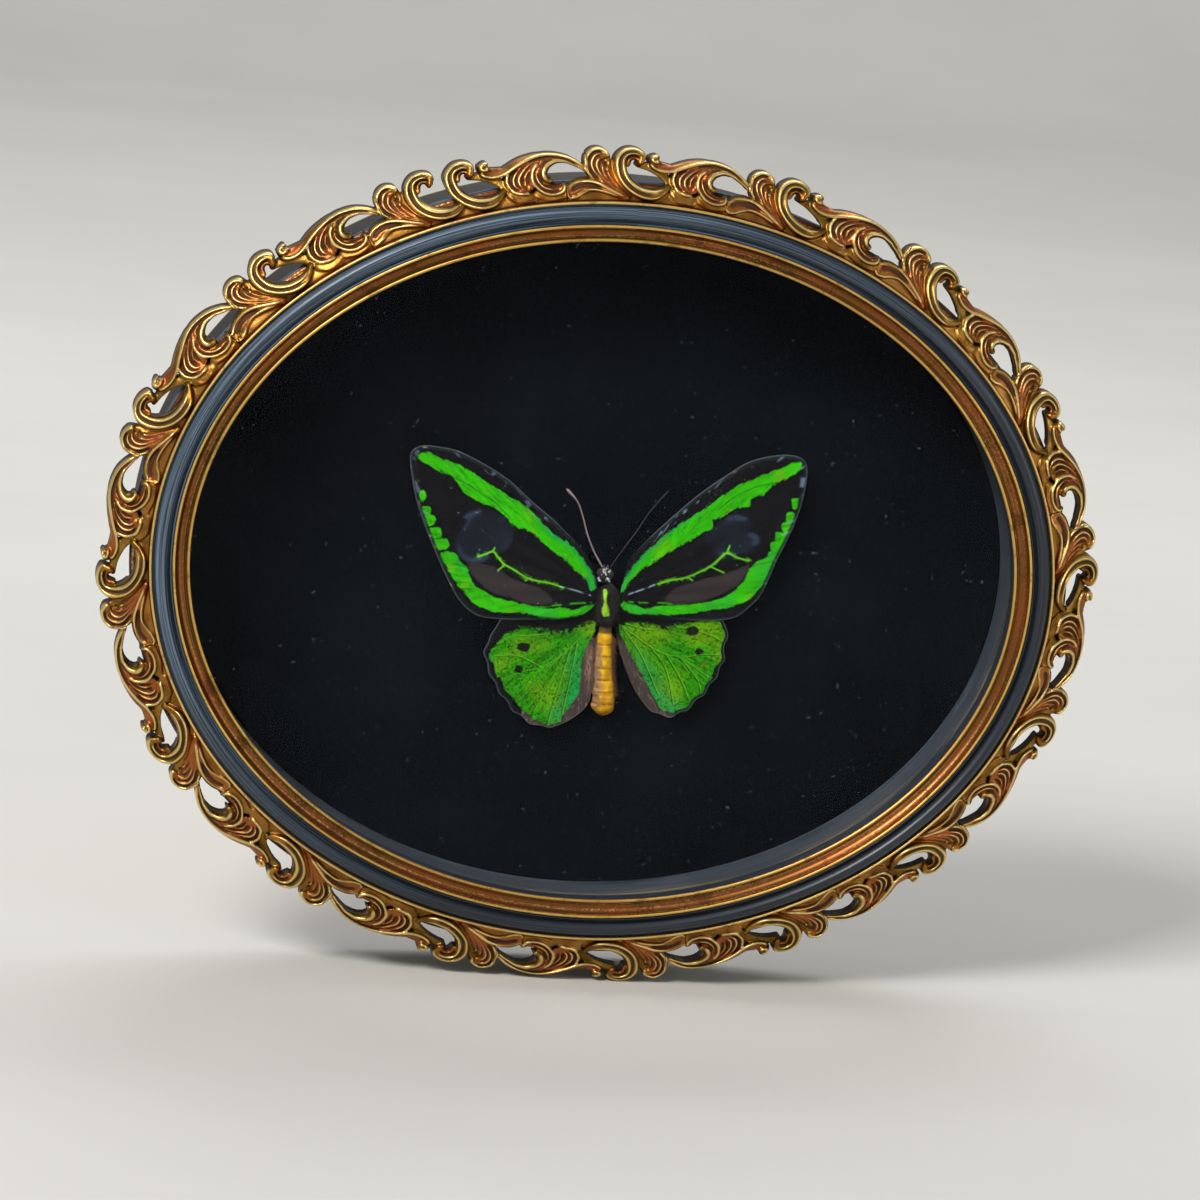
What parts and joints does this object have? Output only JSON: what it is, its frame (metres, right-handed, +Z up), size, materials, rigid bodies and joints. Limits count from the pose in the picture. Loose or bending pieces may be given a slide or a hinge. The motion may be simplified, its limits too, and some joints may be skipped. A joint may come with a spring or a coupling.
{
  "type": "framed butterfly specimen",
  "caption": "Oval gilt and black shadow-box frame with pierced scroll castings, glazed over velvet that carries a spread green birdwing butterfly.",
  "frame": {"origin": "the hanging point, at the notches of the toothed hanger, in the plane of the rear rim", "axes": "+Z up the wall, +X to the viewer's right, +Y into the wall; the glazed front faces -Y"},
  "size_m": [0.3075, 0.0456, 0.2584],
  "materials": {
    "gilt_moulding": "gold leaf and black paint over wood, satin, worn at the edges",
    "gilt_ornament": "cast composition, gilt, with copper-red toning and dark recesses, satin",
    "glass": "clear, polished",
    "black_paint": "brushed black paint, streaky, satin",
    "velvet": "short matt pile",
    "card": "matt",
    "hardboard": "pressed fibre, matt",
    "steel": "bright zinc plate",
    "brass": "plated, satin",
    "wing": "scaled wing membrane, green on velvet black, satin",
    "chitin": "dark hairy body wall",
    "abdomen": "golden-yellow segmented body wall"
  },
  "bodies": {
    "root": {"frame_moulding": "gilt_moulding", "ornament_01": "gilt_ornament", "ornament_02": "gilt_ornament", "ornament_03": "gilt_ornament", "ornament_04": "gilt_ornament", "ornament_05": "gilt_ornament", "ornament_06": "gilt_ornament", "ornament_07": "gilt_ornament", "ornament_08": "gilt_ornament", "ornament_09": "gilt_ornament", "ornament_10": "gilt_ornament", "ornament_11": "gilt_ornament", "ornament_12": "gilt_ornament", "ornament_13": "gilt_ornament", "ornament_14": "gilt_ornament", "ornament_15": "gilt_ornament", "ornament_16": "gilt_ornament", "glass": "glass", "spacer_wall": "black_paint", "velvet": "velvet", "specimen_board": "card", "backing_board": "hardboard", "point_1": "steel", "point_2": "steel", "point_3": "steel", "point_4": "steel", "point_5": "steel", "point_6": "steel", "hanger": "brass", "hanger_nail_1": "steel", "hanger_nail_2": "steel", "head": "chitin", "thorax": "chitin", "abdomen": "abdomen", "antenna_left": "chitin", "antenna_right": "chitin", "forewing_left": "wing", "forewing_right": "wing", "hindwing_left": "wing", "hindwing_right": "wing"}
  },
  "joints": []
}
